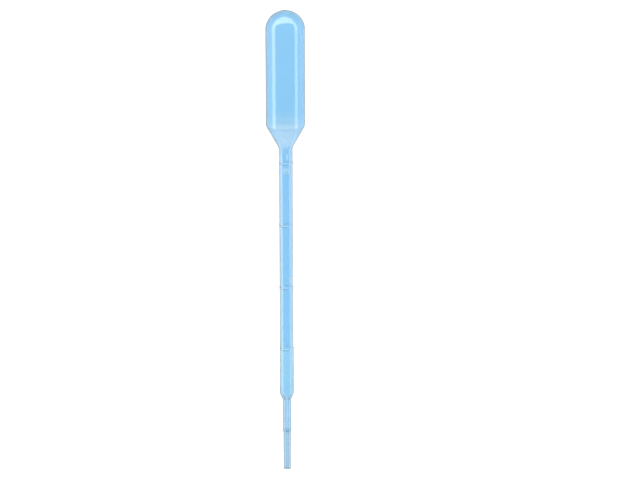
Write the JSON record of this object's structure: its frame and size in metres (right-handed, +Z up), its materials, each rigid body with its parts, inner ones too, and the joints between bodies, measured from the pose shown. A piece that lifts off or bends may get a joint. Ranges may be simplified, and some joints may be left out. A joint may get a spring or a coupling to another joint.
{
  "type": "plastic dropper pipette",
  "caption": "Blow-moulded plastic dropper pipette: hollow domed squeeze bulb, conical shoulder, graduated tubular stem and a stepped, open fine tip, lying on its side.",
  "frame": {"origin": "on the bench under the middle of the lying pipette's length and width", "axes": "+Y towards the bulb, +Z up, graduated side up; the long axis leans up towards the bulb by the angle at which the pipette rests on its shoulder's edge and its tip"},
  "size_m": [0.0128, 0.1549, 0.014],
  "materials": {
    "ldpe": "gloss"
  },
  "bodies": {
    "root": {"pipette": "ldpe"}
  },
  "joints": []
}
